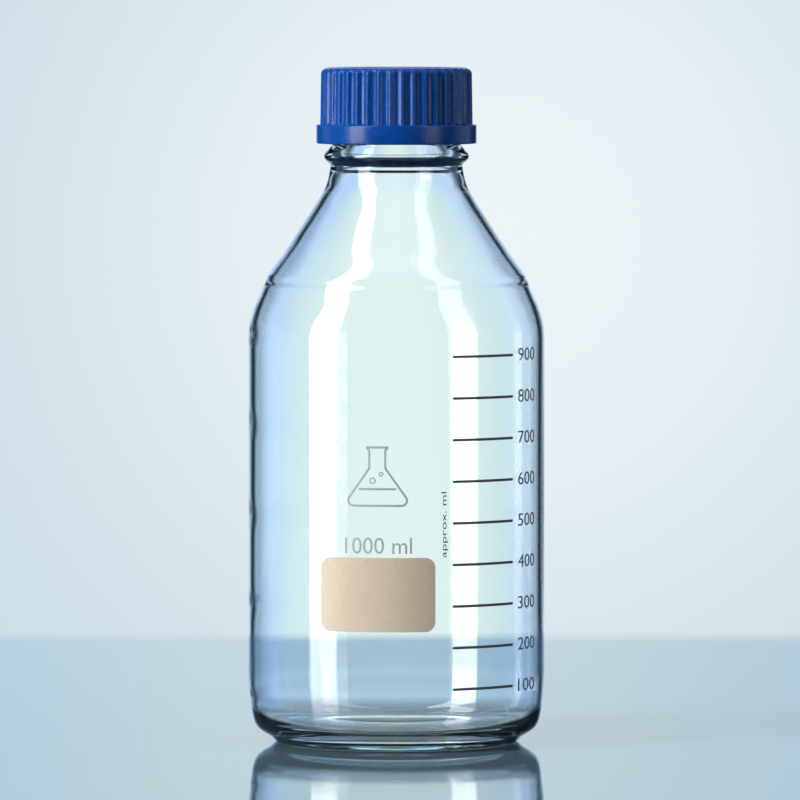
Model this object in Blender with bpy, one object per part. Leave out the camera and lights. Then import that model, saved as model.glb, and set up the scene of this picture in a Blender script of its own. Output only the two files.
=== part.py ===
"""Reagent bottle with a screw cap, 1000 ml, GL 45 thread.

The bottle stands on the plane z = 0 with its axis on Z, and its printed front faces -Y.
All dimensions are in millimetres; mesh data is made in metres.
"""
import math

import bmesh
import bpy

MM = 0.001
SEGMENTS = 48
MERGE_DISTANCE = 1e-6

# The bottle's outside
BODY_RADIUS = 50.5
PUNT_HEIGHT = 4.0
FOOT_INNER_RADIUS = 37.5
FOOT_OUTER_RADIUS = 41.0
HEEL_TOP = 20.5
SHOULDER_FOOT = 137.5
SEAM_HEIGHT = 156.8
SEAM_RADIUS = 45.3
BEAD_HEIGHT = 199.6
BEAD_RADIUS = 24.7
NECK_RADIUS = 21.15
RIM_SEAT_RADIUS = 19.6
RIM_SEAT_HEIGHT = 219.5
BOTTLE_HEIGHT = 225.0

# The bottle's inside
BORE_RADIUS = 15.0
CAVITY_RADIUS = 48.6
CAVITY_FLOOR = 8.2

# The screw thread, shared by neck and cap
THREAD_PITCH = 4.0
THREAD_SECTIONS_PER_TURN = 36
NECK_THREAD_CREST = 22.35
NECK_THREAD_START = 209.2
NECK_THREAD_TURNS = 1.8
CAP_THREAD_CREST = 21.75
CAP_THREAD_START = NECK_THREAD_START - THREAD_PITCH / 2
CAP_THREAD_TURNS = 1.9
THREAD_RUNOUT_TURNS = 0.12
THREAD_ROOT_DEPTH = 0.5
THREAD_ROOT_WIDTH = 2.7
THREAD_CREST_WIDTH = 0.9

# The cap
CAP_HEIGHT = 26.0
CAP_TOP = 230.0
CAP_BASE = CAP_TOP - CAP_HEIGHT
CAP_BORE_RADIUS = 22.9
CAP_MOUTH_RADIUS = 23.6
CAP_ROOF = 227.9
FLANGE_RADIUS = 27.3
FLANGE_HEIGHT = 6.5
FLANGE_BEVEL = 0.4
RIB_COUNT = 40
RIB_CREST_RADIUS = 26.0
RIB_TOP_RADIUS = 25.75
RIB_DEPTH = 0.75
RIB_CREST_SHARE = 0.5
RIB_FOOT_SHARE = 0.72
CAP_EDGE_ROUND = 1.3

# The parts between the rim and the cap's roof
RING_GAP = 0.3
RING_WALL = 1.1
RING_DEPTH = 5.0
RING_TOP = 226.4
DISC_RADIUS = 22.3
DISC_BOTTOM = 226.65
DISC_TOP = 227.65

# The enamel print
PRINT_GAP = 0.05
PRINT_THICKNESS = 0.1
MARK_COUNT = 9
MARK_SPACING = 13.99
FIRST_MARK_HEIGHT = 21.4
MARK_THICKNESS = 0.8
MARK_START_DEG = 22.0
MARK_END_DEG = 51.0
FIELD_START_DEG = -30.0
FIELD_END_DEG = 15.0
FIELD_BOTTOM = 41.0
FIELD_TOP = 66.0
FIELD_CORNER = 3.5


def clear_scene():
    for item in list(bpy.data.objects):
        bpy.data.objects.remove(item, do_unlink=True)


def make_material(name, colour, roughness, transmission=0.0, ior=1.5):
    material = bpy.data.materials.new(name)
    material.use_nodes = True
    shader = material.node_tree.nodes["Principled BSDF"]
    shader.inputs["Base Color"].default_value = (*colour, 1.0)
    shader.inputs["Roughness"].default_value = roughness
    shader.inputs["Metallic"].default_value = 0.0
    shader.inputs["Transmission Weight"].default_value = transmission
    shader.inputs["IOR"].default_value = ior
    material.diffuse_color = (*colour, 1.0)
    return material


def finish_object(name, mesh, material, smooth_angle_deg=32.0):
    """Turn a closed bmesh into a named object with outward faces and soft round sides."""
    bmesh.ops.recalc_face_normals(mesh, faces=mesh.faces)
    data = bpy.data.meshes.new(name)
    mesh.to_mesh(data)
    mesh.free()
    data.materials.append(material)
    data.shade_smooth()
    data.set_sharp_from_angle(angle=math.radians(smooth_angle_deg))
    item = bpy.data.objects.new(name, data)
    bpy.context.scene.collection.objects.link(item)
    return item


def curve_value(a, b, c, d, t):
    """One coordinate of the Catmull-Rom span from b to c, at t from 0 to 1."""
    linear = c - a
    square = 2 * a - 5 * b + 4 * c - d
    cube = 3 * (b - c) + d - a
    return b + 0.5 * (linear * t + square * t**2 + cube * t**3)


def smooth_curve(points, steps):
    """Points of a Catmull-Rom curve through the given (radius, height) points, ends included."""
    before = [2 * a - b for a, b in zip(points[0], points[1])]
    after = [2 * a - b for a, b in zip(points[-1], points[-2])]
    padded = [before, *points, after]
    result = []
    for span in zip(padded, padded[1:], padded[2:], padded[3:]):
        for step in range(steps):
            result.append(tuple(curve_value(*values, step / steps) for values in zip(*span)))
    result.append(tuple(points[-1]))
    return result


def arc(centre, radius, start_deg, end_deg, steps):
    """Points of a circular arc in the (radius, height) plane, both ends included."""
    angles = [math.radians(start_deg + (end_deg - start_deg) * k / steps) for k in range(steps + 1)]
    return [(centre[0] + radius * math.cos(a), centre[1] + radius * math.sin(a)) for a in angles]


def lathe(name, outline, material, segments=SEGMENTS):
    """Spin a closed (radius, height) outline about Z into a solid."""
    mesh = bmesh.new()
    corners = [mesh.verts.new((radius * MM, 0.0, height * MM)) for radius, height in outline]
    edges = []
    for first, second in zip(corners, corners[1:] + corners[:1]):
        lies_on_axis = first.co.x == 0 and second.co.x == 0
        if not lies_on_axis:
            edges.append(mesh.edges.new((first, second)))
    bmesh.ops.spin(mesh, geom=corners + edges, cent=(0, 0, 0), axis=(0, 0, 1), dvec=(0, 0, 0),
                   angle=math.tau, steps=segments, use_merge=True)
    bmesh.ops.remove_doubles(mesh, verts=mesh.verts, dist=MERGE_DISTANCE)
    return finish_object(name, mesh, material)


def bottle_outline():
    """The glass section: base, heel, wall, shoulder, bead and neck outside, then back down inside."""
    punt = [(0, PUNT_HEIGHT), (20, 3.3), (33, 1.0), (FOOT_INNER_RADIUS, 0)]
    heel = smooth_curve([(FOOT_OUTER_RADIUS, 0), (44.9, 3.3), (47.5, 4.9), (49.2, 9.0),
                         (BODY_RADIUS, HEEL_TOP)], 2)
    shoulder = smooth_curve([(BODY_RADIUS, SHOULDER_FOOT), (49.9, 144.0), (47.5, 150.7),
                             (45.6, SEAM_HEIGHT - 1.4)], 2)
    seam = [(SEAM_RADIUS, SEAM_HEIGHT - 0.4), (SEAM_RADIUS - 0.3, SEAM_HEIGHT + 0.5)]
    cone = smooth_curve([(44.4, SEAM_HEIGHT + 1.7), (38.1, 167.2), (29.8, 180.0), (25.0, 187.6),
                         (22.8, 193.8), (22.6, 196.6)], 2)
    bead = [(23.9, BEAD_HEIGHT - 1.6), (BEAD_RADIUS, BEAD_HEIGHT), (24.2, BEAD_HEIGHT + 1.4),
            (22.5, BEAD_HEIGHT + 3.2)]
    neck = [(NECK_RADIUS, 205.0), (NECK_RADIUS, RIM_SEAT_HEIGHT - 0.8), (RIM_SEAT_RADIUS, RIM_SEAT_HEIGHT)]
    rim = arc((RIM_SEAT_RADIUS - 1.0, BOTTLE_HEIGHT - 1.0), 1.0, 0, 90, 3)
    rim += arc((BORE_RADIUS + 1.0, BOTTLE_HEIGHT - 1.0), 1.0, 90, 180, 3)
    throat = smooth_curve([(BORE_RADIUS, 205.0), (18.8, 197.3), (21.2, 189.6), (28.3, 178.4),
                           (40.2, 160.5), (45.0, 152.2), (48.0, 143.3), (CAVITY_RADIUS, 136.0)], 2)
    floor = [(CAVITY_RADIUS, 20.0), (47.9, 11.0), (43.0, 5.8), (36.0, 4.9), (20.0, 7.2), (0, CAVITY_FLOOR)]
    return punt + heel + shoulder + seam + cone + bead + neck + rim + throat + floor


def thread_bead(name, start_height, turns, root_radius, crest_radius, material):
    """A helical bead whose tapered ends sink into the wall it stands on."""
    outward = 1.0 if crest_radius > root_radius else -1.0
    buried_radius = root_radius - outward * THREAD_ROOT_DEPTH
    sunk_crest = root_radius - outward * THREAD_ROOT_DEPTH / 2
    root_half = THREAD_ROOT_WIDTH / 2
    crest_half = THREAD_CREST_WIDTH / 2
    section_count = round(turns * THREAD_SECTIONS_PER_TURN)
    mesh = bmesh.new()
    sections = []
    for index in range(section_count + 1):
        turn = turns * index / section_count
        angle = math.tau * turn
        centre = start_height + THREAD_PITCH * turn
        rise = min(1.0, turn / THREAD_RUNOUT_TURNS, (turns - turn) / THREAD_RUNOUT_TURNS)
        crest = sunk_crest + (crest_radius - sunk_crest) * math.sin(rise * math.pi / 2)
        section = [(buried_radius, -root_half), (crest, -crest_half),
                   (crest, crest_half), (buried_radius, root_half)]
        sections.append([mesh.verts.new((radius * MM * math.cos(angle), radius * MM * math.sin(angle),
                                         (centre + offset) * MM)) for radius, offset in section])
    for near, far in zip(sections, sections[1:]):
        for a, b in ((0, 1), (1, 2), (2, 3), (3, 0)):
            mesh.faces.new((near[a], near[b], far[b], far[a]))
    mesh.faces.new(sections[0])
    mesh.faces.new(sections[-1])
    bead = finish_object(name, mesh, material)
    bead.hide_render = True
    bead.display_type = "WIRE"
    return bead


def add_boolean(item, cutter, operation):
    modifier = item.modifiers.new(cutter.name, "BOOLEAN")
    modifier.operation = operation
    modifier.object = cutter
    modifier.solver = "EXACT"


def build_bottle(glass):
    bottle = lathe("glass_bottle", bottle_outline(), glass)
    thread = thread_bead("neck_thread_tool", NECK_THREAD_START, NECK_THREAD_TURNS,
                         NECK_RADIUS, NECK_THREAD_CREST, glass)
    add_boolean(bottle, thread, "UNION")
    return bottle


def build_pouring_ring(plastic):
    """A U-shaped ring that hangs over the glass rim, with one skirt inside and one outside."""
    bore_outer = BORE_RADIUS - RING_GAP
    bore_inner = bore_outer - RING_WALL
    seat_inner = RIM_SEAT_RADIUS + RING_GAP
    seat_outer = seat_inner + RING_WALL
    lip_bottom = BOTTLE_HEIGHT + RING_GAP
    skirt_bottom = BOTTLE_HEIGHT - RING_DEPTH
    outline = [(bore_inner, skirt_bottom), (bore_outer, skirt_bottom), (bore_outer, lip_bottom),
               (seat_inner, lip_bottom), (seat_inner, skirt_bottom), (seat_outer, skirt_bottom),
               (seat_outer, RING_TOP - 0.3), (seat_outer - 0.3, RING_TOP),
               (bore_inner + 0.6, RING_TOP), (bore_inner, RING_TOP - 0.6)]
    return lathe("pouring_ring", outline, plastic)


def build_sealing_disc(rubber):
    outline = [(0, DISC_BOTTOM), (DISC_RADIUS - 0.2, DISC_BOTTOM), (DISC_RADIUS, DISC_BOTTOM + 0.2),
               (DISC_RADIUS, DISC_TOP - 0.2), (DISC_RADIUS - 0.2, DISC_TOP), (0, DISC_TOP)]
    return lathe("sealing_disc", outline, rubber)


def rib_section(crest_radius, valley_radius):
    """One rib's corners as (angle, radius): foot, crest, crest, foot."""
    pitch = math.tau / RIB_COUNT
    foot = RIB_FOOT_SHARE * pitch / 2
    crest = RIB_CREST_SHARE * pitch / 2
    return [(-foot, valley_radius), (-crest, crest_radius), (crest, crest_radius), (foot, valley_radius)]


def cap_blank(plastic):
    """The solid ribbed blank: a stack of rings, round at the flange and ribbed above it."""
    flange_top = CAP_BASE + FLANGE_HEIGHT
    rib_top = CAP_TOP - CAP_EDGE_ROUND
    flat_radius = RIB_TOP_RADIUS - CAP_EDGE_ROUND
    edge_drop = CAP_EDGE_ROUND * (1 - math.sqrt(0.5))
    levels = [(CAP_BASE, FLANGE_RADIUS - FLANGE_BEVEL, FLANGE_RADIUS - FLANGE_BEVEL),
              (CAP_BASE + FLANGE_BEVEL, FLANGE_RADIUS, FLANGE_RADIUS),
              (flange_top - FLANGE_BEVEL, FLANGE_RADIUS, FLANGE_RADIUS),
              (flange_top, FLANGE_RADIUS - FLANGE_BEVEL, FLANGE_RADIUS - FLANGE_BEVEL),
              (flange_top, RIB_CREST_RADIUS, RIB_CREST_RADIUS - RIB_DEPTH),
              (rib_top, RIB_TOP_RADIUS, RIB_TOP_RADIUS - RIB_DEPTH),
              (CAP_TOP - edge_drop, RIB_TOP_RADIUS - edge_drop, RIB_TOP_RADIUS - RIB_DEPTH),
              (CAP_TOP, flat_radius, flat_radius)]
    mesh = bmesh.new()
    rings = []
    for height, crest_radius, valley_radius in levels:
        ring = []
        for rib in range(RIB_COUNT):
            middle = math.tau * rib / RIB_COUNT
            for angle, radius in rib_section(crest_radius, valley_radius):
                ring.append(mesh.verts.new((radius * MM * math.cos(middle + angle),
                                            radius * MM * math.sin(middle + angle), height * MM)))
        rings.append(ring)
    for lower, upper in zip(rings, rings[1:]):
        for k in range(len(lower)):
            following = (k + 1) % len(lower)
            mesh.faces.new((lower[k], lower[following], upper[following], upper[k]))
    mesh.faces.new(rings[0])
    mesh.faces.new(rings[-1])
    return finish_object("screw_cap", mesh, plastic)


def build_cap(plastic):
    cap = cap_blank(plastic)
    cavity = lathe("cap_cavity_tool", [
        (0, CAP_BASE - 2.0), (CAP_MOUTH_RADIUS, CAP_BASE - 2.0), (CAP_MOUTH_RADIUS, CAP_BASE + 0.6),
        (CAP_BORE_RADIUS, CAP_BASE + 1.3), (CAP_BORE_RADIUS, CAP_ROOF), (0, CAP_ROOF)], plastic)
    cavity.hide_render = True
    cavity.display_type = "WIRE"
    thread = thread_bead("cap_thread_tool", CAP_THREAD_START, CAP_THREAD_TURNS,
                         CAP_BORE_RADIUS, CAP_THREAD_CREST, plastic)
    add_boolean(cap, cavity, "DIFFERENCE")
    add_boolean(cap, thread, "UNION")
    return cap


def glass_surface_radius(angle):
    """The faceted glass wall's radius at an angle from the front, on the wall's own facets."""
    facet = math.tau / SEGMENTS
    within = angle % facet - facet / 2
    return BODY_RADIUS * math.cos(facet / 2) / math.cos(within)


def print_angles(start_deg, end_deg):
    """The start angle, every facet corner between, and the end angle, in radians."""
    facet_deg = 360.0 / SEGMENTS
    first = math.floor(start_deg / facet_deg) + 1
    last = math.ceil(end_deg / facet_deg) - 1
    return [math.radians(a) for a in (start_deg, *(k * facet_deg for k in range(first, last + 1)), end_deg)]


def print_point(angle, height, offset):
    radius = (glass_surface_radius(angle) + offset) * MM
    return (radius * math.sin(angle), -radius * math.cos(angle), height * MM)


def enamel_strip(name, columns, enamel):
    """A thin closed plate on the glass wall; each column is (angle, bottom height, top height)."""
    mesh = bmesh.new()
    rings = []
    for angle, bottom, top in columns:
        rings.append([mesh.verts.new(print_point(angle, height, offset)) for height, offset in (
            (bottom, PRINT_GAP), (top, PRINT_GAP), (top, PRINT_GAP + PRINT_THICKNESS),
            (bottom, PRINT_GAP + PRINT_THICKNESS))])
    for near, far in zip(rings, rings[1:]):
        for k in range(4):
            following = (k + 1) % 4
            mesh.faces.new((near[k], near[following], far[following], far[k]))
    mesh.faces.new(rings[0])
    mesh.faces.new(rings[-1])
    return finish_object(name, mesh, enamel)


def build_scale_marks(enamel):
    """One line for each 100 ml, approximately, all the same distance apart."""
    for mark in range(MARK_COUNT):
        centre = FIRST_MARK_HEIGHT + mark * MARK_SPACING
        bottom = centre - MARK_THICKNESS / 2
        top = centre + MARK_THICKNESS / 2
        columns = [(angle, bottom, top) for angle in print_angles(MARK_START_DEG, MARK_END_DEG)]
        enamel_strip(f"scale_mark_{(mark + 1) * 100}", columns, enamel)


def build_writing_field(enamel):
    """The panel's rounded corners are arcs of a few columns at each end."""
    corner_steps = 4
    corner_angle = FIELD_CORNER / BODY_RADIUS
    start = math.radians(FIELD_START_DEG)
    end = math.radians(FIELD_END_DEG)
    columns = []
    for step in range(corner_steps):
        turn = math.pi / 2 * (step + 0.5) / corner_steps
        inset = FIELD_CORNER * (1 - math.sin(turn))
        along = corner_angle * (1 - math.cos(turn))
        columns.append((start + along, FIELD_BOTTOM + inset, FIELD_TOP - inset))
        columns.append((end - along, FIELD_BOTTOM + inset, FIELD_TOP - inset))
    inner = print_angles(math.degrees(start + corner_angle), math.degrees(end - corner_angle))
    columns += [(angle, FIELD_BOTTOM, FIELD_TOP) for angle in inner]
    enamel_strip("writing_field", sorted(columns), enamel)


def main():
    clear_scene()
    glass = make_material("borosilicate_glass", (0.86, 0.93, 0.95), 0.02, transmission=1.0, ior=1.473)
    cap_plastic = make_material("cap_polypropylene", (0.02, 0.09, 0.42), 0.35)
    ring_plastic = make_material("ring_polypropylene", (0.03, 0.12, 0.46), 0.4)
    rubber = make_material("pale_silicone", (0.82, 0.82, 0.80), 0.6)
    dark_enamel = make_material("grey_enamel", (0.16, 0.15, 0.15), 0.5)
    pale_enamel = make_material("cream_enamel", (0.82, 0.74, 0.62), 0.6)
    build_bottle(glass)
    build_pouring_ring(ring_plastic)
    build_sealing_disc(rubber)
    build_cap(cap_plastic)
    build_scale_marks(dark_enamel)
    build_writing_field(pale_enamel)


main()
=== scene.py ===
"""Looks for the reagent bottle: fine glass, moulded cap, enamel print, table, studio light and camera.

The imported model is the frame: +Z is up, the bottle's axis is Z and its printed front faces -Y.
Dimensions are in millimetres unless a name says otherwise; meshes are made in metres.
"""

import math

import bmesh
import bpy
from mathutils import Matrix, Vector


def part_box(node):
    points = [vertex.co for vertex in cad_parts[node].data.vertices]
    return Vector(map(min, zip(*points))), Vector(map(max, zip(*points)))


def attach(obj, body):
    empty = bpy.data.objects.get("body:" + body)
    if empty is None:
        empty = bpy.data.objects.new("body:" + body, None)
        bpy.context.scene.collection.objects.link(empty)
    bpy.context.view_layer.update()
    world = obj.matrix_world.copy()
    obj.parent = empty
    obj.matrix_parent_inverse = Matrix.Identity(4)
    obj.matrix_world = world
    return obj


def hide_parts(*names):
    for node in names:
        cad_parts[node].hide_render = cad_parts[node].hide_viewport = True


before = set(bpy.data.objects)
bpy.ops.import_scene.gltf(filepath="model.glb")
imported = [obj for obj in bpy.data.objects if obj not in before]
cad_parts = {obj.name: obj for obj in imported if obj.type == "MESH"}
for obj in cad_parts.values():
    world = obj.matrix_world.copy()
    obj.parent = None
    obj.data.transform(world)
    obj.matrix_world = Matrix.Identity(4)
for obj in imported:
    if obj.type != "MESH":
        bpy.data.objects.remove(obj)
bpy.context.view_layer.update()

MM = 0.001

# Sizes read from the frame, in millimetres
_, glass_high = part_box("glass_bottle")
cap_low, cap_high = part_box("screw_cap")
ring_low, ring_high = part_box("pouring_ring")
disc_low, disc_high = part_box("sealing_disc")
field_low, field_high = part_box("writing_field")
BODY_RADIUS = glass_high[0] / MM
BOTTLE_HEIGHT = glass_high[2] / MM
CAP_TOP = cap_high[2] / MM
CAP_BASE = cap_low[2] / MM
FLANGE_RADIUS = cap_high[0] / MM
RING_TOP = ring_high[2] / MM
RING_FOOT = ring_low[2] / MM
DISC_TOP = disc_high[2] / MM
DISC_FOOT = disc_low[2] / MM
DISC_RADIUS = disc_high[0] / MM

# Glass
PUNT_HEIGHT = 4.0
FOOT_INNER_RADIUS = 38.4
FOOT_OUTER_RADIUS = 40.3
HEEL_TOP = 24.0
WALL_TOP = 130.0
SHOULDER_ROUND_RADIUS = 25.2
SHOULDER_ROUND_HEIGHT = 138.4
SEAM_HEIGHT = 156.8
SEAM_RIDGE = 0.28
SEAM_RIDGE_WIDTH = 0.9
NECK_FOOT = (22.5, 196.8)
BEAD_RADIUS = 24.75
BEAD_HEIGHT = 199.6
NECK_RADIUS = 21.15
THREAD_ZONE = (205.6, 218.4)
RIM_SEAT_RADIUS = 19.6
RIM_SEAT_HEIGHT = 219.5
RIM_ROUND = 1.4
BORE_RADIUS = 15.0
BORE_FOOT = 214.0
CAVITY_RADIUS = 48.6
CAVITY_TOP = 128.0
CAVITY_FOOT = 30.0
CAVITY_FLOOR = 8.2
WAVES_TOP = 200.0
WAVES_FADE = 40.0
LEFT_BUMP_DEPTH = 0.22
LEFT_BUMP_HEIGHT = 77.0
LEFT_BUMP_SPACING = 31.0
GLASS_COLUMNS = 192
AXIS_RADIUS = 0.01

# Cap, pouring ring and sealing disc
CAP_BORE_RADIUS = 22.9
CAP_MOUTH_RADIUS = 23.6
CAP_ROOF = 227.9
FLANGE_HEIGHT = 6.5
RIB_COUNT = 40
RIB_CREST_RADIUS = 26.0
RIB_DEPTH = 0.85
RIB_SHARE = 0.84
RIB_TOP_DRAFT = 0.25
RIB_COLUMNS = 24
CAP_EDGE_HEIGHT = 2.2
CAP_EDGE_DEPTH = 3.4
CAP_PANEL_RADIUS = 21.2
CAP_PANEL_DEPTH = 0.3
CAP_INNER_COLUMNS = 160
CAP_THREAD_ROOM = (1.3, 14.0)
RING_WALL = 1.1
RING_GAP = 0.3
RING_FOLD = 1.2
RING_LIP_ROUND = 2.0
DISC_EDGE = 0.3
DISC_FLAT_RADIUS = 12.0
SMALL_RING_COLUMNS = 128

# Screw thread
THREAD_PITCH = 4.0
NECK_THREAD = {"root": NECK_RADIUS, "crest": 22.35, "start": 209.2, "turns": 1.8}
CAP_THREAD = {"root": CAP_BORE_RADIUS, "crest": 21.75, "start": 207.2, "turns": 1.9}
THREAD_RUNOUT_TURNS = 0.12
THREAD_ROOT_HALF = 1.25
THREAD_CREST_HALF = 0.5
THREAD_ROWS = 44

# Print; a centre is (degrees to the right of the front, height)
PRINT_GAP = 0.015
PRINT_THICKNESS = 0.07
PRINT_CUT = 1.2
MARK_THICKNESS = 0.9
MARK_START_DEG = 22.0
MARK_END_DEG = 51.0
NUMERAL_CENTRE_DEG = 60.9
NUMERAL_WIDTH = 11.4
NUMERAL_HEIGHT = 4.3
NUMERAL_LIFT = 0.1
FIELD_CENTRE_DEG = -7.5
FIELD_ARC_DEG = 45.0
FIELD_CORNER = 3.5
SIGN_CENTRE = (-7.3, 93.5)
SIGN_STROKE = 0.75
BUBBLE_STROKE = 0.45
CAPACITY_CENTRE = (-7.0, 70.1)
CAPACITY_SIZE = (22.8, 5.5)
NOTE_CENTRE = (18.7, 77.0)
NOTE_SIZE = (22.0, 2.4)


# ---------------------------------------------------------------- materials

def new_material(name):
    """A material with its nodes, its links and its main shader."""
    material = bpy.data.materials.new(name)
    material.use_nodes = True
    nodes = material.node_tree.nodes
    return material, nodes, material.node_tree.links, nodes["Principled BSDF"]


def object_noise(nodes, links, scale, detail=3.0, stretch=(1.0, 1.0, 1.0)):
    """A noise texture in the object's own metres."""
    place = nodes.new("ShaderNodeTexCoord")
    mapping = nodes.new("ShaderNodeMapping")
    mapping.inputs["Scale"].default_value = stretch
    noise = nodes.new("ShaderNodeTexNoise")
    noise.inputs["Scale"].default_value = scale
    noise.inputs["Detail"].default_value = detail
    links.new(place.outputs["Object"], mapping.inputs["Vector"])
    links.new(mapping.outputs["Vector"], noise.inputs["Vector"])
    return noise.outputs["Fac"]


def remap(nodes, links, value, low, high, from_low=0.3, from_high=0.7):
    """From low to high as the value goes from from_low to from_high."""
    node = nodes.new("ShaderNodeMapRange")
    node.inputs["From Min"].default_value = from_low
    node.inputs["From Max"].default_value = from_high
    node.inputs["To Min"].default_value = low
    node.inputs["To Max"].default_value = high
    links.new(value, node.inputs["Value"])
    return node.outputs["Result"]


def colour_between(nodes, links, value, first, second):
    """The first colour where the value is low, the second where it is high."""
    ramp = nodes.new("ShaderNodeValToRGB")
    ramp.color_ramp.elements[0].position = 0.3
    ramp.color_ramp.elements[0].color = (*first, 1.0)
    ramp.color_ramp.elements[1].position = 0.7
    ramp.color_ramp.elements[1].color = (*second, 1.0)
    links.new(value, ramp.inputs["Fac"])
    return ramp.outputs["Color"]


def add_bump(nodes, links, shader, height, distance_mm, strength=1.0):
    bump = nodes.new("ShaderNodeBump")
    bump.inputs["Strength"].default_value = strength
    bump.inputs["Distance"].default_value = distance_mm * MM
    links.new(height, bump.inputs["Height"])
    links.new(bump.outputs["Normal"], shader.inputs["Normal"])


def glass_material():
    """Clear borosilicate glass: a trace of tint in its depth, slow striae and faint surface haze."""
    material, nodes, links, shader = new_material("borosilicate_glass")
    shader.inputs["Base Color"].default_value = (0.985, 0.996, 1.0, 1.0)
    shader.inputs["Transmission Weight"].default_value = 1.0
    shader.inputs["IOR"].default_value = 1.473
    haze = object_noise(nodes, links, 60.0, 4.0)
    links.new(remap(nodes, links, haze, 0.0, 0.012), shader.inputs["Roughness"])
    striae = object_noise(nodes, links, 26.0, 2.0, stretch=(1.0, 1.0, 0.25))
    add_bump(nodes, links, shader, striae, 0.012)
    depth = nodes.new("ShaderNodeVolumeAbsorption")
    depth.inputs["Color"].default_value = (0.60, 0.93, 0.87, 1.0)
    depth.inputs["Density"].default_value = 12.0
    links.new(depth.outputs["Volume"], nodes["Material Output"].inputs["Volume"])
    return material


def plastic_material(name, dark, light, roughness):
    """Moulded polypropylene: slight colour drift and glow in its depth, fine orange peel, uneven gloss."""
    material, nodes, links, shader = new_material(name)
    drift = object_noise(nodes, links, 90.0, 4.0, stretch=(1.0, 1.0, 0.3))
    links.new(colour_between(nodes, links, drift, dark, light), shader.inputs["Base Color"])
    gloss = object_noise(nodes, links, 320.0, 5.0)
    links.new(remap(nodes, links, gloss, roughness - 0.05, roughness + 0.07), shader.inputs["Roughness"])
    shader.inputs["IOR"].default_value = 1.49
    shader.inputs["Specular IOR Level"].default_value = 0.28
    shader.inputs["Subsurface Weight"].default_value = 0.35
    shader.inputs["Subsurface Radius"].default_value = (0.15, 0.4, 1.0)
    shader.inputs["Subsurface Scale"].default_value = 0.004
    peel = object_noise(nodes, links, 900.0, 3.0)
    add_bump(nodes, links, shader, peel, 0.008)
    return material


def enamel_material(name, dark, light, roughness):
    """Fired enamel ink: a fine speckle and a dry, slightly grainy skin."""
    material, nodes, links, shader = new_material(name)
    speckle = object_noise(nodes, links, 700.0, 6.0)
    links.new(colour_between(nodes, links, speckle, dark, light), shader.inputs["Base Color"])
    dryness = remap(nodes, links, speckle, roughness - 0.08, roughness + 0.08)
    links.new(dryness, shader.inputs["Roughness"])
    grain = object_noise(nodes, links, 2600.0, 2.0)
    add_bump(nodes, links, shader, grain, 0.015)
    return material


def silicone_material():
    """Pale silicone with a cloudy tone and a dull, finely grained skin."""
    material, nodes, links, shader = new_material("pale_silicone")
    cloud = object_noise(nodes, links, 140.0, 5.0)
    tone = colour_between(nodes, links, cloud, (0.72, 0.72, 0.69), (0.84, 0.84, 0.82))
    links.new(tone, shader.inputs["Base Color"])
    links.new(remap(nodes, links, cloud, 0.5, 0.65), shader.inputs["Roughness"])
    grain = object_noise(nodes, links, 1800.0, 3.0)
    add_bump(nodes, links, shader, grain, 0.02)
    return material


# ---------------------------------------------------------------- outlines

def curve_value(a, b, c, d, t):
    """One coordinate of the Catmull-Rom span from b to c, at t from 0 to 1."""
    linear = c - a
    square = 2 * a - 5 * b + 4 * c - d
    cube = 3 * (b - c) + d - a
    return b + 0.5 * (linear * t + square * t**2 + cube * t**3)


def smooth_curve(points, steps):
    """Points of a Catmull-Rom curve through the given (radius, height) points, ends included."""
    before = [2 * a - b for a, b in zip(points[0], points[1])]
    after = [2 * a - b for a, b in zip(points[-1], points[-2])]
    padded = [before, *points, after]
    result = []
    for span in zip(padded, padded[1:], padded[2:], padded[3:]):
        for step in range(steps):
            result.append(tuple(curve_value(*values, step / steps) for values in zip(*span)))
    result.append(tuple(points[-1]))
    return result


def arc(centre, radius, start_deg, end_deg, steps):
    """Points of a round stretch, ends included."""
    angles = [math.radians(start_deg + (end_deg - start_deg) * k / steps) for k in range(steps + 1)]
    return [(centre[0] + radius * math.cos(a), centre[1] + radius * math.sin(a)) for a in angles]


def straight(start, end, steps):
    return [tuple(a + (b - a) * k / steps for a, b in zip(start, end)) for k in range(steps + 1)]


def evenly_spaced(points, spacing):
    """The same line with its points about one spacing apart, ends included."""
    lengths = [0.0]
    for before, after in zip(points, points[1:]):
        lengths.append(lengths[-1] + math.dist(before, after))
    count = max(2, round(lengths[-1] / spacing))
    result = []
    span = 0
    for index in range(count + 1):
        along = lengths[-1] * index / count
        while span < len(points) - 2 and lengths[span + 1] < along:
            span += 1
        share = (along - lengths[span]) / (lengths[span + 1] - lengths[span])
        result.append(tuple(a + (b - a) * share for a, b in zip(points[span], points[span + 1])))
    return result


def softened(points, spacing, passes):
    """An evenly spaced line whose corners are rounded by repeated averaging; its ends stay."""
    line = evenly_spaced(points, spacing)
    for _ in range(passes):
        trios = zip(line, line[1:], line[2:])
        middle = [tuple((a + 2 * b + c) / 4 for a, b, c in zip(*trio)) for trio in trios]
        line = [line[0], *middle, line[-1]]
    return line


def without_repeats(points):
    result = []
    for point in points:
        if not result or math.dist(point, result[-1]) > 1e-4:
            result.append(point)
    return result


# ---------------------------------------------------------------- mesh helpers

def place_piece(name, mesh, material, body, smooth_angle_deg=40.0):
    """A finished bmesh becomes a named piece that rides on a body of the frame."""
    bmesh.ops.recalc_face_normals(mesh, faces=mesh.faces)
    data = bpy.data.meshes.new(name)
    mesh.to_mesh(data)
    mesh.free()
    data.materials.append(material)
    data.shade_smooth()
    data.set_sharp_from_angle(angle=math.radians(smooth_angle_deg))
    piece = bpy.data.objects.new(name, data)
    bpy.context.scene.collection.objects.link(piece)
    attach(piece, body)
    return piece


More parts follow.
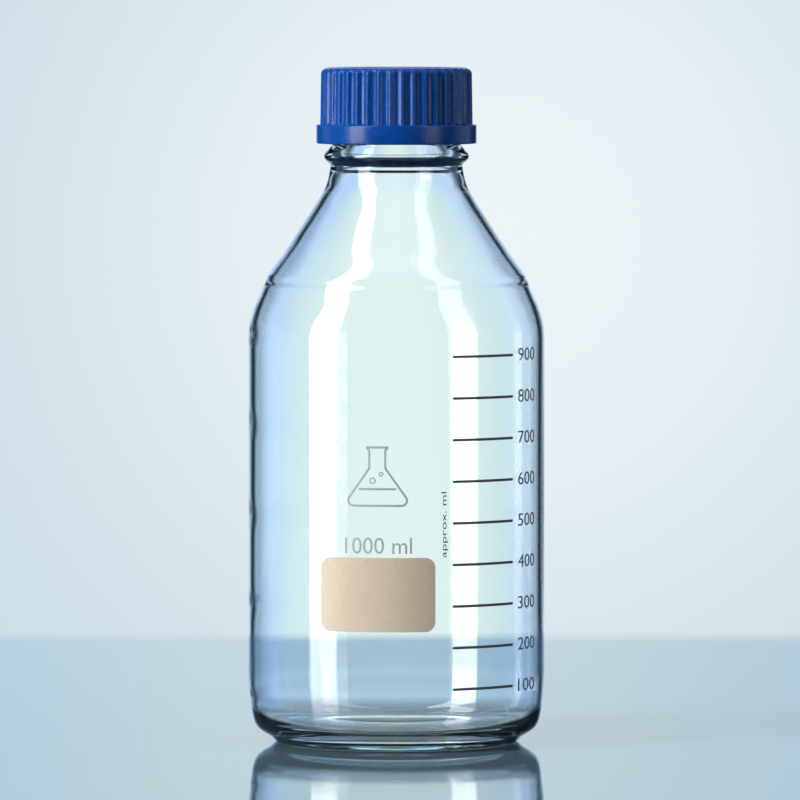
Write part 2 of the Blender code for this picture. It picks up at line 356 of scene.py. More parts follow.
def add_ring(mesh, columns, radius_at, height):
    """One horizontal ring of vertices; radius_at gives the radius for an angle."""
    ring = []
    for column in range(columns):
        angle = math.tau * column / columns
        radius = radius_at(angle) * MM
        ring.append(mesh.verts.new((radius * math.cos(angle), radius * math.sin(angle), height * MM)))
    return ring


def round_ring(mesh, columns, radius, height):
    return add_ring(mesh, columns, lambda angle: radius, height)


def join_rings(mesh, lower, upper):
    count = len(lower)
    for k in range(count):
        following = (k + 1) % count
        mesh.faces.new((lower[k], lower[following], upper[following], upper[k]))


def close_ring(mesh, ring, height):
    """A fan from the ring to a point on the axis."""
    centre = mesh.verts.new((0.0, 0.0, height * MM))
    for first, second in zip(ring, ring[1:] + ring[:1]):
        mesh.faces.new((first, second, centre))


def thread_rise(thread, angle, height):
    """How far the thread stands out of its wall at one point, from 0 to 1."""
    best = 0.0
    for lap in range(3):
        turn = angle / math.tau + lap
        if turn > thread["turns"]:
            break
        away = abs(height - thread["start"] - THREAD_PITCH * turn)
        fade = min(1.0, turn / THREAD_RUNOUT_TURNS, (thread["turns"] - turn) / THREAD_RUNOUT_TURNS)
        slope = (THREAD_ROOT_HALF - away) / (THREAD_ROOT_HALF - THREAD_CREST_HALF)
        flank = min(1.0, max(0.0, slope))
        soft = flank * flank * (3 - 2 * flank)
        best = max(best, soft * max(0.0, fade))
    return best


def threaded_radius(thread, height):
    """The radius by angle of a wall with a thread on it."""
    def radius_at(angle):
        reach = thread["crest"] - thread["root"]
        return thread["root"] + reach * thread_rise(thread, angle, height)
    return radius_at


# ---------------------------------------------------------------- glass bottle

def wall_waviness(angle, height):
    """The blown inside is never quite even: slow waves, and a few bumps down the left side."""
    two_waves = 0.05 * math.sin(2 * angle + 0.7 + height / 38.0)
    three_waves = 0.03 * math.sin(3 * angle - height / 26.0)
    left_side = max(0.0, -math.cos(angle)) ** 8
    bump_rows = max(0.0, math.cos(math.tau * (height - LEFT_BUMP_HEIGHT) / LEFT_BUMP_SPACING)) ** 6
    return two_waves + three_waves - LEFT_BUMP_DEPTH * left_side * bump_rows


def wavy_radius(radius, height):
    """The inside's radius by angle; its waves die away on the floor and towards the neck."""
    below_neck = min(1.0, max(0.0, (WAVES_TOP - height) / WAVES_FADE))
    strength = min(1.0, radius / CAVITY_RADIUS) ** 3 * below_neck

    def radius_at(angle):
        return radius + strength * wall_waviness(angle, height)
    return radius_at


def bottle_outside():
    """(radius, height) from the middle of the base to the neck thread."""
    punt = smooth_curve([(AXIS_RADIUS, PUNT_HEIGHT), (20, 3.3), (33, 1.1), (37.2, 0.15),
                         (FOOT_INNER_RADIUS, 0.0)], 6)
    foot = straight((FOOT_INNER_RADIUS, 0.0), (FOOT_OUTER_RADIUS, 0.0), 2)
    heel = softened([(FOOT_OUTER_RADIUS, 0.0), (41.5, 0.2), (42.9, 2.0), (45.2, 3.2), (47.6, 4.9),
                     (48.8, 7.2), (49.4, 10.2), (50.0, 15.0), (50.45, 20.5), (BODY_RADIUS, HEEL_TOP),
                     (BODY_RADIUS, HEEL_TOP + 4.0)], 0.6, 3)
    wall = straight((BODY_RADIUS, HEEL_TOP + 4.0), (BODY_RADIUS, WALL_TOP), 24)
    round_centre = (BODY_RADIUS - SHOULDER_ROUND_RADIUS, SHOULDER_ROUND_HEIGHT)
    shoulder_round = arc(round_centre, SHOULDER_ROUND_RADIUS, 0, 27, 6)
    shoulder = softened([(BODY_RADIUS, WALL_TOP), *shoulder_round, (46.1, 153.6), (45.0, SEAM_HEIGHT - 0.4),
                         (44.2, SEAM_HEIGHT + 1.9), (42.1, 161.8), (38.1, 167.2), (33.7, 173.9),
                         (29.5, 180.5), (25.9, 186.0), (23.9, 189.7), (23.0, 193.2), NECK_FOOT], 0.9, 7)
    bead = smooth_curve([NECK_FOOT, (23.2, 197.5), (24.3, 198.5), (BEAD_RADIUS, BEAD_HEIGHT),
                         (24.3, 200.9), (23.1, 202.2), (21.9, 203.8), (NECK_RADIUS, THREAD_ZONE[0])], 4)
    return without_repeats(punt + foot + heel + wall + shoulder + bead)


def rim_outline():
    """(radius, height) from the seat of the pouring ring over the rounded rim and into the bore."""
    seat = smooth_curve([(NECK_RADIUS, THREAD_ZONE[1]), (20.9, 219.1),
                         (RIM_SEAT_RADIUS, RIM_SEAT_HEIGHT)], 3)
    round_height = BOTTLE_HEIGHT - RIM_ROUND
    outer_round = arc((RIM_SEAT_RADIUS - RIM_ROUND, round_height), RIM_ROUND, 0, 90, 6)
    inner_round = arc((BORE_RADIUS + RIM_ROUND, round_height), RIM_ROUND, 90, 180, 6)
    return without_repeats(seat + outer_round + inner_round)


def seam_ridge(height):
    """How far the mould seam stands in from the inside of the shoulder, by height."""
    return SEAM_RIDGE * math.exp(-((height - SEAM_HEIGHT) / SEAM_RIDGE_WIDTH) ** 2)


def bottle_inside():
    """(radius, height) from the bore down to the middle of the floor."""
    bore = straight((BORE_RADIUS, 223.0), (BORE_RADIUS, BORE_FOOT), 4)
    throat = softened([(BORE_RADIUS, BORE_FOOT), (15.3, 210.5), (16.3, 206.5), (16.9, 203.5), (17.4, 200.3),
                       (18.5, 198.2), (19.4, 195.8), (20.3, 193.0), (21.3, 189.9), (24.7, 183.9),
                       (28.2, 178.6), (32.1, 172.6), (36.5, 166.0), (40.5, 160.7), (42.6, 157.6),
                       (43.3, 155.9), (44.4, 152.9), (46.1, 149.0), (47.3, 145.7), (48.25, 142.3),
                       (CAVITY_RADIUS, SHOULDER_ROUND_HEIGHT), (CAVITY_RADIUS, CAVITY_TOP)], 0.7, 8)
    throat = [(radius - seam_ridge(height), height) for radius, height in throat]
    wall = straight((CAVITY_RADIUS, CAVITY_TOP), (CAVITY_RADIUS, CAVITY_FOOT), 36)
    floor = softened([(CAVITY_RADIUS, CAVITY_FOOT), (48.5, 18.0), (47.9, 11.0), (46.4, 7.4), (43.0, 5.5),
                      (38.0, 4.9), (30.0, 5.6), (20.0, 7.2), (10.0, 7.9), (AXIS_RADIUS, CAVITY_FLOOR)],
                     1.0, 6)
    return without_repeats(bore + throat + wall + floor)


def build_bottle():
    """Outside, thread, rim and inside in one closed skin."""
    mesh = bmesh.new()
    rings = [round_ring(mesh, GLASS_COLUMNS, radius, height) for radius, height in bottle_outside()]
    for row in range(1, THREAD_ROWS):
        height = THREAD_ZONE[0] + (THREAD_ZONE[1] - THREAD_ZONE[0]) * row / THREAD_ROWS
        rings.append(add_ring(mesh, GLASS_COLUMNS, threaded_radius(NECK_THREAD, height), height))
    for radius, height in rim_outline():
        rings.append(round_ring(mesh, GLASS_COLUMNS, radius, height))
    for radius, height in bottle_inside():
        rings.append(add_ring(mesh, GLASS_COLUMNS, wavy_radius(radius, height), height))
    for lower, upper in zip(rings, rings[1:]):
        join_rings(mesh, lower, upper)
    close_ring(mesh, rings[0], PUNT_HEIGHT)
    close_ring(mesh, rings[-1], CAVITY_FLOOR)
    bottle = place_piece("bottle_glass", mesh, glass_material(), "bottle", 60.0)
    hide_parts("glass_bottle")


# ---------------------------------------------------------------- cap, ring and disc

def rib_profile(angle):
    """0 in the valley between two grip ribs, 1 on a rib's rounded crest."""
    phase = (angle * RIB_COUNT / math.tau) % 1.0
    distance = abs(phase - 0.5) * 2.0
    return 0.5 + 0.5 * math.cos(math.pi * min(1.0, distance / RIB_SHARE))


def ribbed_radius(crest, valley):
    """The radius by angle of the cap's ribbed side."""
    def radius_at(angle):
        return valley + (crest - valley) * rib_profile(angle)
    return radius_at


def cap_outside():
    """(height, radius at the crest, radius in the valley) from the flange's foot to the flat top."""
    flange_top = CAP_BASE + FLANGE_HEIGHT
    rib_foot = RIB_CREST_RADIUS
    rib_head = RIB_CREST_RADIUS - RIB_TOP_DRAFT
    rows = [(h, r, r) for r, h in arc((FLANGE_RADIUS - 0.5, CAP_BASE + 0.5), 0.5, -90, 0, 5)]
    rows += [(h, r, r) for r, h in arc((FLANGE_RADIUS - 0.45, flange_top - 0.45), 0.45, 0, 90, 5)]
    rows.append((flange_top + 0.02, rib_foot + 0.35, rib_foot + 0.2))
    rows.append((flange_top + 0.12, rib_foot + 0.1, rib_foot - RIB_DEPTH * 0.55))
    rows.append((flange_top + 0.45, rib_foot, rib_foot - RIB_DEPTH))
    for share in (0.25, 0.5, 0.75, 1.0):
        height = flange_top + 0.45 + (CAP_TOP - CAP_EDGE_HEIGHT - flange_top - 0.45) * share
        crest = rib_foot + (rib_head - rib_foot) * share
        rows.append((height, crest, crest - RIB_DEPTH))
    for step in range(1, 11):
        turn = math.pi / 2 * step / 10
        crest = rib_head - CAP_EDGE_DEPTH * (1 - math.cos(turn))
        height = CAP_TOP - CAP_EDGE_HEIGHT * (1 - math.sin(turn))
        rows.append((height, crest, crest - RIB_DEPTH * (1 - math.sin(turn))))
    return rows


def cap_top_outline():
    """(radius, height) from the flat edge over the sunk panel to the gate mark in its middle."""
    panel = CAP_TOP - CAP_PANEL_DEPTH
    return [(CAP_PANEL_RADIUS + 0.4, CAP_TOP), (CAP_PANEL_RADIUS, CAP_TOP - 0.12),
            (CAP_PANEL_RADIUS - 0.3, panel), (3.0, panel), (2.7, panel + 0.1), (1.2, panel + 0.14)]


def build_cap(material):
    """Flange, ribs and top outside; mouth, thread and roof inside; joined round the foot."""
    mesh = bmesh.new()
    columns = RIB_COUNT * RIB_COLUMNS
    outer = [add_ring(mesh, columns, ribbed_radius(crest, valley), height)
             for height, crest, valley in cap_outside()]
    outer += [round_ring(mesh, columns, radius, height) for radius, height in cap_top_outline()]
    for lower, upper in zip(outer, outer[1:]):
        join_rings(mesh, lower, upper)
    close_ring(mesh, outer[-1], cap_top_outline()[-1][1])

    thread_low, thread_high = (CAP_BASE + rise for rise in CAP_THREAD_ROOM)
    mouth = [(CAP_MOUTH_RADIUS + 0.25, CAP_BASE), (CAP_MOUTH_RADIUS, CAP_BASE + 0.25),
             (CAP_MOUTH_RADIUS, CAP_BASE + 0.6), (CAP_BORE_RADIUS, thread_low)]
    roof = [(CAP_BORE_RADIUS, CAP_ROOF - 0.5), (CAP_BORE_RADIUS - 0.15, CAP_ROOF - 0.15),
            (CAP_BORE_RADIUS - 0.5, CAP_ROOF), (4.0, CAP_ROOF)]
    inner = [round_ring(mesh, CAP_INNER_COLUMNS, radius, height) for radius, height in mouth]
    for row in range(1, THREAD_ROWS + 1):
        height = thread_low + (thread_high - thread_low) * row / THREAD_ROWS
        inner.append(add_ring(mesh, CAP_INNER_COLUMNS, threaded_radius(CAP_THREAD, height), height))
    inner += [round_ring(mesh, CAP_INNER_COLUMNS, radius, height) for radius, height in roof]
    for lower, upper in zip(inner, inner[1:]):
        join_rings(mesh, lower, upper)
    close_ring(mesh, inner[-1], CAP_ROOF)

    foot_edges = [mesh.edges.get((ring[k], ring[(k + 1) % len(ring)]))
                  for ring in (outer[0], inner[0]) for k in range(len(ring))]
    bmesh.ops.bridge_loops(mesh, edges=foot_edges)
    cap = place_piece("cap_shell", mesh, material, "cap", 35.0)
    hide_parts("screw_cap")


def lathe_piece(name, outline, columns, material, body):
    """A closed (radius, height) outline that doesn't touch the axis, spun into a ring."""
    mesh = bmesh.new()
    rings = [round_ring(mesh, columns, radius, height) for radius, height in outline]
    for lower, upper in zip(rings, rings[1:] + rings[:1]):
        join_rings(mesh, lower, upper)
    return place_piece(name, mesh, material, body)


def build_pouring_ring(material):
    """U-shaped drip ring over the rim; its lip flares to a sharp pouring edge."""
    bore_outer = BORE_RADIUS - RING_GAP
    bore_inner = bore_outer - RING_WALL
    seat_inner = RIM_SEAT_RADIUS + RING_GAP
    seat_outer = seat_inner + RING_WALL
    fold_height = BOTTLE_HEIGHT + RING_GAP - RING_FOLD
    outline = [(bore_inner + 0.2, RING_FOOT), (bore_outer - 0.2, RING_FOOT), (bore_outer, RING_FOOT + 0.2)]
    outline += arc((bore_outer + RING_FOLD, fold_height), RING_FOLD, 180, 90, 5)
    outline += arc((seat_inner - RING_FOLD, fold_height), RING_FOLD, 90, 0, 5)
    outline += [(seat_inner, RING_FOOT + 0.2), (seat_inner + 0.2, RING_FOOT), (seat_outer - 0.2, RING_FOOT),
                (seat_outer, RING_FOOT + 0.2), (seat_outer, RING_TOP - 0.9),
                (seat_outer - 0.1, RING_TOP - 0.3), (seat_outer - 0.4, RING_TOP - 0.05),
                (seat_outer - 0.9, RING_TOP), (bore_inner + 2.4, RING_TOP - 0.15)]
    lip_centre = (bore_inner + RING_LIP_ROUND, RING_TOP - RING_LIP_ROUND - 0.2)
    outline += arc(lip_centre, RING_LIP_ROUND, 90, 180, 6)
    ring = lathe_piece("drip_ring", without_repeats(outline), SMALL_RING_COLUMNS, material,
                       "bottle")
    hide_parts("pouring_ring")


def build_sealing_disc(material):
    """A flat liner with a shallow groove in its underside and a rounded edge."""
    bevel = DISC_EDGE * 0.3
    mesh = bmesh.new()
    profile = [(DISC_FLAT_RADIUS, DISC_FOOT), (14.2, DISC_FOOT), (14.4, DISC_FOOT + 0.08),
               (14.8, DISC_FOOT + 0.08), (15.0, DISC_FOOT), (DISC_RADIUS - DISC_EDGE, DISC_FOOT),
               (DISC_RADIUS - bevel, DISC_FOOT + bevel), (DISC_RADIUS, (DISC_FOOT + DISC_TOP) / 2),
               (DISC_RADIUS - bevel, DISC_TOP - bevel), (DISC_RADIUS - DISC_EDGE, DISC_TOP),
               (DISC_FLAT_RADIUS, DISC_TOP)]
    rings = [round_ring(mesh, SMALL_RING_COLUMNS, radius, height) for radius, height in profile]
    for lower, upper in zip(rings, rings[1:]):
        join_rings(mesh, lower, upper)
    close_ring(mesh, rings[0], DISC_FOOT)
    close_ring(mesh, rings[-1], DISC_TOP)
    disc = place_piece("cap_liner", mesh, material, "seal")
    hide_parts("sealing_disc")


# ---------------------------------------------------------------- enamel print

def wrap_print(name, mesh, centre_deg, centre_height, material, slot):
    """A flat bmesh in the XY plane, in millimetres, becomes a thin skin round the front of the glass."""
    low = min(vert.co.x for vert in mesh.verts)
    high = max(vert.co.x for vert in mesh.verts)
    for cut in range(math.floor(low / PRINT_CUT) + 1, math.ceil(high / PRINT_CUT)):
        bmesh.ops.bisect_plane(mesh, geom=mesh.verts[:] + mesh.edges[:] + mesh.faces[:], dist=1e-5,
                               plane_co=(cut * PRINT_CUT, 0, 0), plane_no=(1, 0, 0))
    bmesh.ops.recalc_face_normals(mesh, faces=mesh.faces)
    raised = bmesh.ops.extrude_face_region(mesh, geom=mesh.faces[:])
    for item in raised["geom"]:
        if isinstance(item, bmesh.types.BMVert):
            item.co.z += PRINT_THICKNESS
    for vert in mesh.verts:
        angle = math.radians(centre_deg) + vert.co.x / BODY_RADIUS
        radius = (BODY_RADIUS + PRINT_GAP + vert.co.z) * MM
        height = (centre_height + vert.co.y) * MM
        vert.co = Vector((radius * math.sin(angle), -radius * math.cos(angle), height))
    return place_piece(name, mesh, material, "bottle")


def flat_polygon(points):
    mesh = bmesh.new()
    mesh.faces.new([mesh.verts.new((x, y, 0.0)) for x, y in points])
    return mesh


def rounded_rectangle(width, height, corner, steps=8):
    points = []
    for centre_x, centre_y, start in ((1, 1, 0), (-1, 1, 90), (-1, -1, 180), (1, -1, 270)):
        centre = (centre_x * (width / 2 - corner), centre_y * (height / 2 - corner))
        points += arc(centre, corner, start, start + 90, steps)
    return without_repeats(points)


def add_stroke(mesh, points, width, closed=False):
    """A flat ribbon of even width along a line of (x, y) points."""
    count = len(points)
    sides = []
    for index, (x, y) in enumerate(points):
        before = points[index - 1] if closed or index > 0 else points[index]
        after = points[(index + 1) % count] if closed or index < count - 1 else points[index]
        along = Vector((after[0] - before[0], after[1] - before[1])).normalized()
        across = Vector((-along.y, along.x)) * width / 2
        sides.append((mesh.verts.new((x + across.x, y + across.y, 0.0)),
                      mesh.verts.new((x - across.x, y - across.y, 0.0))))
    pairs = zip(sides, sides[1:] + sides[:1]) if closed else zip(sides, sides[1:])
    for near, far in pairs:
        mesh.faces.new((near[0], near[1], far[1], far[0]))


def text_mesh(text, width, height, upright=False):
    """Flat lettering of an exact width and height in millimetres, centred on the origin."""
    curve = bpy.data.curves.new("lettering", "FONT")
    curve.body = text
    curve.resolution_u = 4
    writer = bpy.data.objects.new("lettering", curve)
    bpy.context.scene.collection.objects.link(writer)
    bpy.context.view_layer.update()
    data = bpy.data.meshes.new_from_object(writer)
    mesh = bmesh.new()
    mesh.from_mesh(data)
    bpy.data.objects.remove(writer, do_unlink=True)
    bpy.data.curves.remove(curve)
    bpy.data.meshes.remove(data)
    bmesh.ops.remove_doubles(mesh, verts=mesh.verts, dist=1e-5)
    low = Vector([min(vert.co[axis] for vert in mesh.verts) for axis in range(2)])
    high = Vector([max(vert.co[axis] for vert in mesh.verts) for axis in range(2)])
    middle = (low + high) / 2
    for vert in mesh.verts:
        x = (vert.co.x - middle.x) * width / (high.x - low.x)
        y = (vert.co.y - middle.y) * height / (high.y - low.y)
        vert.co = Vector((-y, x, 0.0)) if upright else Vector((x, y, 0.0))
    return mesh


def build_scale(ink, numeral_ink):
    """The lines of the frame's own scale, each with its numeral."""
    width = math.radians(MARK_END_DEG - MARK_START_DEG) * BODY_RADIUS
    middle_deg = (MARK_START_DEG + MARK_END_DEG) / 2
    outline = rounded_rectangle(width, MARK_THICKNESS, MARK_THICKNESS * 0.3, 3)
    for volume in range(100, 1000, 100):
        node = f"scale_mark_{volume}"
        low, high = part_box(node)
        height = (low[2] + high[2]) / 2 / MM
        line = wrap_print(f"printed_line_{volume}", flat_polygon(outline), middle_deg, height,
                          ink, "scale_enamel")
        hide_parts(node)
        numeral = text_mesh(str(volume), NUMERAL_WIDTH, NUMERAL_HEIGHT)
        wrap_print(f"numeral_{volume}", numeral, NUMERAL_CENTRE_DEG, height + NUMERAL_LIFT,
                   numeral_ink, "scale_enamel")


def build_field(ink):
    width = math.radians(FIELD_ARC_DEG) * BODY_RADIUS
    height = (field_high[2] - field_low[2]) / MM
    middle = (field_high[2] + field_low[2]) / 2 / MM
    patch = flat_polygon(rounded_rectangle(width, height, FIELD_CORNER))
    field = wrap_print("label_field", patch, FIELD_CENTRE_DEG, middle, ink, "field_enamel")
    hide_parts("writing_field")


def build_flask_sign(ink):
    """A plain conical flask with a level line and two bubbles, printed above the capacity."""
    mesh = bmesh.new()
    right = [(0.0, -10.0), (8.2, -10.0)] + arc((8.2, -8.2), 1.8, -70, 25, 5) + [(2.7, 2.6), (2.7, 8.0)]
    right += arc((3.6, 8.3), 0.9, 180, 90, 3)
    left = [(-x, y) for x, y in right]
    rim = [(-3.8, 9.6), (3.8, 9.6)]
    level = [(-6.4, -4.4), (6.4, -4.4)]
    for line in (without_repeats(right), without_repeats(left), rim, level):
        add_stroke(mesh, line, SIGN_STROKE)
    for x, y, radius in ((-1.6, -1.6, 0.9), (1.3, 0.6, 0.6)):
        circle = arc((x, y), radius, 0, 360 * 15 / 16, 15)
        add_stroke(mesh, circle, BUBBLE_STROKE, closed=True)
    wrap_print("flask_sign", mesh, *SIGN_CENTRE, ink, "scale_enamel")


def build_print():
    # The print is one white enamel given four inks, each partly its own tone and partly painted shade:
    # near-black for the lines and the note and grey for the numerals, which stand against the light; paler
    # grey for the sign and the capacity; cream for the field.
    dark = enamel_material("scale_enamel", (0.045, 0.05, 0.05), (0.075, 0.075, 0.07), 0.5)
    grey = enamel_material("numeral_enamel", (0.085, 0.105, 0.13), (0.13, 0.15, 0.175), 0.5)
    pale = enamel_material("sign_enamel", (0.23, 0.28, 0.29), (0.30, 0.35, 0.36), 0.55)
    cream = enamel_material("field_enamel", (0.455, 0.375, 0.28), (0.495, 0.41, 0.31), 0.38)
    build_scale(dark, grey)
    build_field(cream)
    build_flask_sign(pale)
    capacity = text_mesh("1000 ml", *CAPACITY_SIZE)
    wrap_print("capacity_1000_ml", capacity, *CAPACITY_CENTRE, pale, "scale_enamel")
    note = text_mesh("approx. ml", *NOTE_SIZE, upright=True)
    wrap_print("scale_note", note, *NOTE_CENTRE, dark, "scale_enamel")


# ---------------------------------------------------------------- table, light and camera

# Table and light panels, in metres
TABLE_TOP = -0.0001
TABLE_BACK = 0.44
TABLE_BACK_SOFTNESS = 0.05
TABLE_FRONT = 0.85
TABLE_HALF_WIDTH = 1.3
PANEL_DISTANCE = 1.6
PANEL_WIDTH = 0.66
PANEL_FOOT = -0.1
PANEL_TOP = 4.6

# Light panels: name, azimuth in degrees, radiance, whether glass and plastic mirror it
LIGHT_PANELS = (
    ("softbox_left", -59.0, 9.5, True),
    ("softbox_right", 53.0, 2.2, True),
    ("key_light", -60.0, 6.6, False),
)


def build_table():
    """A glossy blue-grey table whose far edge melts into the backdrop."""
    mesh = bmesh.new()
    back = TABLE_BACK + TABLE_BACK_SOFTNESS
    corners = [(-TABLE_HALF_WIDTH, -TABLE_FRONT), (TABLE_HALF_WIDTH, -TABLE_FRONT),
               (TABLE_HALF_WIDTH, back), (-TABLE_HALF_WIDTH, back)]
    mesh.faces.new([mesh.verts.new((x, y, TABLE_TOP)) for x, y in corners])
    data = bpy.data.meshes.new("table_top")
    mesh.to_mesh(data)
    mesh.free()
    material, nodes, links, shader = new_material("glossy_table")
    cloud = object_noise(nodes, links, 3.0, 2.0)
    tone = colour_between(nodes, links, cloud, (0.076, 0.126, 0.160), (0.084, 0.136, 0.172))
    links.new(tone, shader.inputs["Base Color"])
    shader.inputs["Roughness"].default_value = 0.05
    shader.inputs["IOR"].default_value = 1.7
    place = nodes.new("ShaderNodeTexCoord")
    split = nodes.new("ShaderNodeSeparateXYZ")
    links.new(place.outputs["Object"], split.inputs["Vector"])
    fade = remap(nodes, links, split.outputs["Y"], 1.0, 0.0,
                 TABLE_BACK - TABLE_BACK_SOFTNESS / 2, TABLE_BACK + TABLE_BACK_SOFTNESS / 2)
    links.new(fade, shader.inputs["Alpha"])
    data.materials.append(material)
    table = bpy.data.objects.new("table_top", data)
    bpy.context.scene.collection.objects.link(table)


def add_light_panel(name, azimuth_deg, radiance, mirrored):
    """A tall upright panel that faces the bottle; azimuth 0 is in front of it, positive to the right."""
    height = PANEL_TOP - PANEL_FOOT
    light = bpy.data.lights.new(name, "AREA")
    light.shape = "RECTANGLE"
    light.size = PANEL_WIDTH
    light.size_y = height
    light.energy = radiance * math.pi * PANEL_WIDTH * height
    light.color = (1.0, 0.99, 0.98)
    lamp = bpy.data.objects.new(name, light)
    angle = math.radians(azimuth_deg)
    place = Vector((PANEL_DISTANCE * math.sin(angle), -PANEL_DISTANCE * math.cos(angle), 0.0))
    lamp.location = place + Vector((0.0, 0.0, PANEL_FOOT + height / 2))
    lamp.rotation_euler = (-place).to_track_quat("-Z", "Y").to_euler()
    lamp.visible_camera = False
    lamp.visible_glossy = mirrored
    lamp.visible_transmission = mirrored
    bpy.context.scene.collection.objects.link(lamp)


def smooth_share(nodes, links, value, start, end):
    """Smoothly from 0 to 1 as the value goes from start to end."""
    node = nodes.new("ShaderNodeMapRange")
    node.interpolation_type = "SMOOTHSTEP"
    node.inputs["From Min"].default_value = start
    node.inputs["From Max"].default_value = end
    links.new(value, node.inputs["Value"])
    return node.outputs["Result"]


def mix_colours(nodes, links, share, first, second):
    """The first colour at a share of 0, the second at 1; each is a tuple or a node's output."""
    node = nodes.new("ShaderNodeMix")
    node.data_type = "RGBA"
    links.new(share, node.inputs["Factor"])
    for socket, value in ((node.inputs[6], first), (node.inputs[7], second)):
        if isinstance(value, tuple):
            socket.default_value = (*value, 1.0)
        else:
            links.new(value, socket)
    return node.outputs[2]


# What stands round the bottle, by azimuth in degrees from straight behind it, positive to the right
BACKDROP_PALE = (0.90, 1.02, 0.98)
LEFT_CYAN = (0.80, 1.00, 0.96)
LEFT_BLUE = (0.58, 0.79, 1.06)
RIGHT_CYAN = (0.74, 0.93, 0.92)
RIGHT_BLUE = (0.62, 0.79, 0.98)
FLAG_EDGE = (0.20, 0.28, 0.35)
FLAG_BLACK = (0.020, 0.036, 0.050)
ROOM_PALE = (0.58, 0.76, 0.92)
ROOM_SIDE = (0.16, 0.22, 0.27)
ROOM_DIM = (0.12, 0.16, 0.20)
ROOM_FRONT = (0.10, 0.22, 0.24)
ROOM = (
    (-180, ROOM_FRONT), (-145, ROOM_FRONT), (-125, ROOM_SIDE), (-80, ROOM_SIDE), (-57, ROOM_PALE),
    (-46, FLAG_BLACK), (-21, FLAG_BLACK), (-18, FLAG_EDGE), (-14, LEFT_BLUE), (-5, LEFT_BLUE),
    (-2, LEFT_CYAN), (-0.8, BACKDROP_PALE), (0.8, BACKDROP_PALE), (2, RIGHT_CYAN), (6, RIGHT_BLUE),
    (13, RIGHT_BLUE), (17, FLAG_EDGE), (20, FLAG_BLACK), (42, FLAG_BLACK), (52, ROOM_PALE),
    (75, ROOM_PALE), (95, ROOM_DIM), (150, ROOM_DIM), (180, ROOM_FRONT),
)
CEILING = (0.62, 0.72, 0.80)
CEILING_RISE = (0.75, 0.95)

# Tints of the room: for directions above the horizon, and for reflections that follow other bounces
UPPER_TINT = (0.95, 0.97, 1.06)
UPPER_TINT_RISE = (-0.03, 0.07)
SECOND_REFLECTION_TINT = (0.70, 0.82, 1.02)
SECOND_REFLECTION_DEPTH = (2.0, 3.0)

# The backdrop as the camera sees it: a soft glow just right of the bottle's axis
GLOW_DIRECTION = (0.012, 1.0, -0.030)
GLOW_REACH = 0.085
GLOW_MIDDLE = (0.84, 0.90, 0.935)
GLOW_EDGE = (0.62, 0.735, 0.79)

# The share of the world's light that reaches dull surfaces
DIFFUSE_SHARE = 0.25


def world_ring(nodes, links, turn, stops):
    """Colours all the way round, from a share of a turn that is 0.5 straight behind the bottle."""
    ramp = nodes.new("ShaderNodeValToRGB")
    elements = ramp.color_ramp.elements
    for index, (degrees, colour) in enumerate(stops):
        element = elements[index] if index < 2 else elements.new(1.0)
        element.position = degrees / 360 + 0.5
        element.color = (*colour, 1.0)
    links.new(turn, ramp.inputs["Fac"])
    return ramp.outputs["Color"]


def room_colour(nodes, links, split):
    """The backdrop, flags and walls by azimuth, under a pale ceiling."""
    azimuth = nodes.new("ShaderNodeMath")
    azimuth.operation = "ARCTAN2"
    links.new(split.outputs["X"], azimuth.inputs[0])
    links.new(split.outputs["Y"], azimuth.inputs[1])
    turn = nodes.new("ShaderNodeMath")
    turn.operation = "MULTIPLY_ADD"
    turn.inputs[1].default_value = 1 / math.tau
    turn.inputs[2].default_value = 0.5
    links.new(azimuth.outputs[0], turn.inputs[0])
    walls = world_ring(nodes, links, turn.outputs[0], ROOM)
    up_share = smooth_share(nodes, links, split.outputs["Z"], *CEILING_RISE)
    return mix_colours(nodes, links, up_share, walls, CEILING)


def tinted_colour(nodes, links, colour, split, path):
    """The room with its bluer upper part, and bluer still in reflections that follow other bounces."""
    rise = smooth_share(nodes, links, split.outputs["Z"], *UPPER_TINT_RISE)
    deep = smooth_share(nodes, links, path.outputs["Ray Depth"], *SECOND_REFLECTION_DEPTH)
    deep_gloss = nodes.new("ShaderNodeMath")
    deep_gloss.operation = "MULTIPLY"
    links.new(deep, deep_gloss.inputs[0])
    links.new(path.outputs["Is Reflection Ray"], deep_gloss.inputs[1])
    tint = mix_colours(nodes, links, rise, (1.0, 1.0, 1.0), UPPER_TINT)
    tint = mix_colours(nodes, links, deep_gloss.outputs[0], tint, SECOND_REFLECTION_TINT)
    tinted = nodes.new("ShaderNodeVectorMath")
    tinted.operation = "MULTIPLY"
    links.new(colour, tinted.inputs[0])
    links.new(tint, tinted.inputs[1])
    return tinted.outputs[0]


def backdrop_colour(nodes, links, direction):
    """A pale glow that fades to blue-grey away from the bottle."""
    away = nodes.new("ShaderNodeVectorMath")
    away.operation = "DISTANCE"
    away.inputs[1].default_value = GLOW_DIRECTION
    links.new(direction, away.inputs[0])
    fading = smooth_share(nodes, links, away.outputs["Value"], 0.0, GLOW_REACH)
    return mix_colours(nodes, links, fading, GLOW_MIDDLE, GLOW_EDGE)


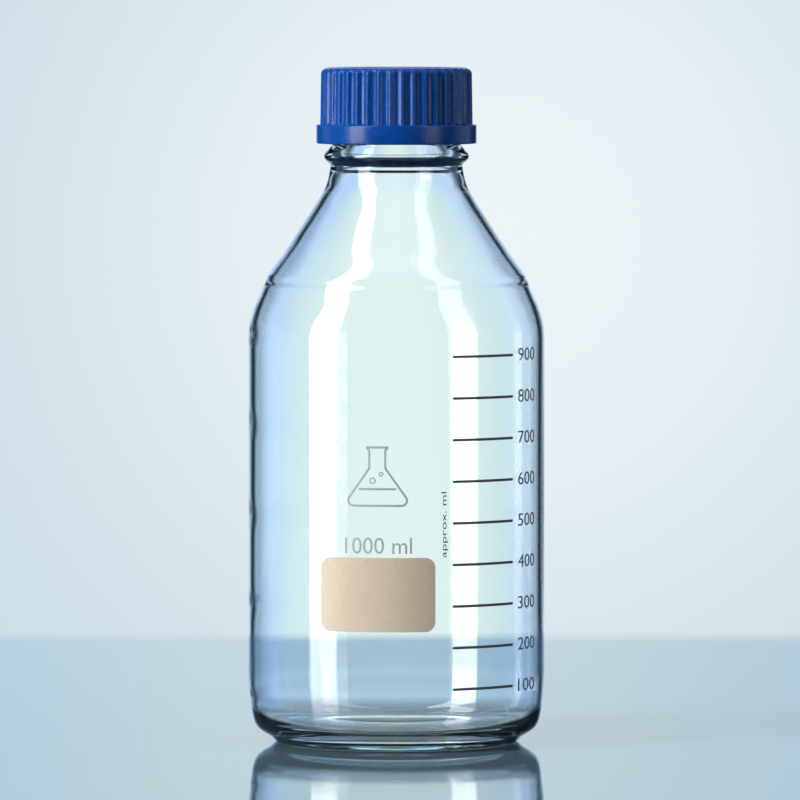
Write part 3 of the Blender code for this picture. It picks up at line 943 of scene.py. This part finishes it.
def build_world():
    """The camera sees the glowing backdrop; surfaces see the room, at part strength where they are dull."""
    world = bpy.data.worlds.new("studio")
    bpy.context.scene.world = world
    world.use_nodes = True
    nodes = world.node_tree.nodes
    links = world.node_tree.links
    place = nodes.new("ShaderNodeTexCoord")
    split = nodes.new("ShaderNodeSeparateXYZ")
    path = nodes.new("ShaderNodeLightPath")
    links.new(place.outputs["Generated"], split.inputs["Vector"])
    room = tinted_colour(nodes, links, room_colour(nodes, links, split), split, path)
    seen = backdrop_colour(nodes, links, place.outputs["Generated"])
    colour = mix_colours(nodes, links, path.outputs["Is Camera Ray"], room, seen)
    links.new(colour, nodes["Background"].inputs["Color"])
    strength = remap(nodes, links, path.outputs["Is Diffuse Ray"], 1.0, DIFFUSE_SHARE, 0.0, 1.0)
    links.new(strength, nodes["Background"].inputs["Strength"])


# Camera, in metres; the picture is VIEW_WIDTH across where the camera aims
CAMERA_DISTANCE = 2.70
CAMERA_HEIGHT = 0.253
CAMERA_SIDE = 0.0012
AIM_HEIGHT = 0.1165
VIEW_WIDTH = 0.27304
SENSOR_WIDTH_MM = 36.0


def build_camera():
    """A long lens a little above the cap, looking slightly down at the middle of the bottle."""
    data = bpy.data.cameras.new("camera")
    aim = Vector((CAMERA_SIDE, 0.0, AIM_HEIGHT))
    camera = bpy.data.objects.new("camera", data)
    camera.location = (CAMERA_SIDE, -CAMERA_DISTANCE, CAMERA_HEIGHT)
    gaze = aim - camera.location
    camera.rotation_euler = gaze.to_track_quat("-Z", "Y").to_euler()
    data.sensor_width = SENSOR_WIDTH_MM
    data.lens = SENSOR_WIDTH_MM * gaze.length / VIEW_WIDTH
    data.clip_start = 0.05
    data.clip_end = 50.0
    bpy.context.scene.collection.objects.link(camera)
    bpy.context.scene.camera = camera


def build_light():
    build_world()
    for name, azimuth_deg, radiance, mirrored in LIGHT_PANELS:
        add_light_panel(name, azimuth_deg, radiance, mirrored)


def set_film():
    scene = bpy.context.scene
    scene.view_settings.view_transform = "Standard"
    scene.cycles.max_bounces = 24
    scene.cycles.transmission_bounces = 24
    scene.cycles.transparent_max_bounces = 16
    scene.cycles.use_denoising = True


def main():
    build_bottle()
    cap_plastic = plastic_material("cap_polypropylene", (0.0, 0.034, 0.180), (0.0, 0.043, 0.220), 0.23)
    ring_plastic = plastic_material("ring_polypropylene", (0.002, 0.045, 0.26), (0.003, 0.055, 0.31), 0.32)
    build_cap(cap_plastic)
    build_pouring_ring(ring_plastic)
    build_sealing_disc(silicone_material())
    build_print()
    build_table()
    build_light()
    build_camera()
    set_film()


main()
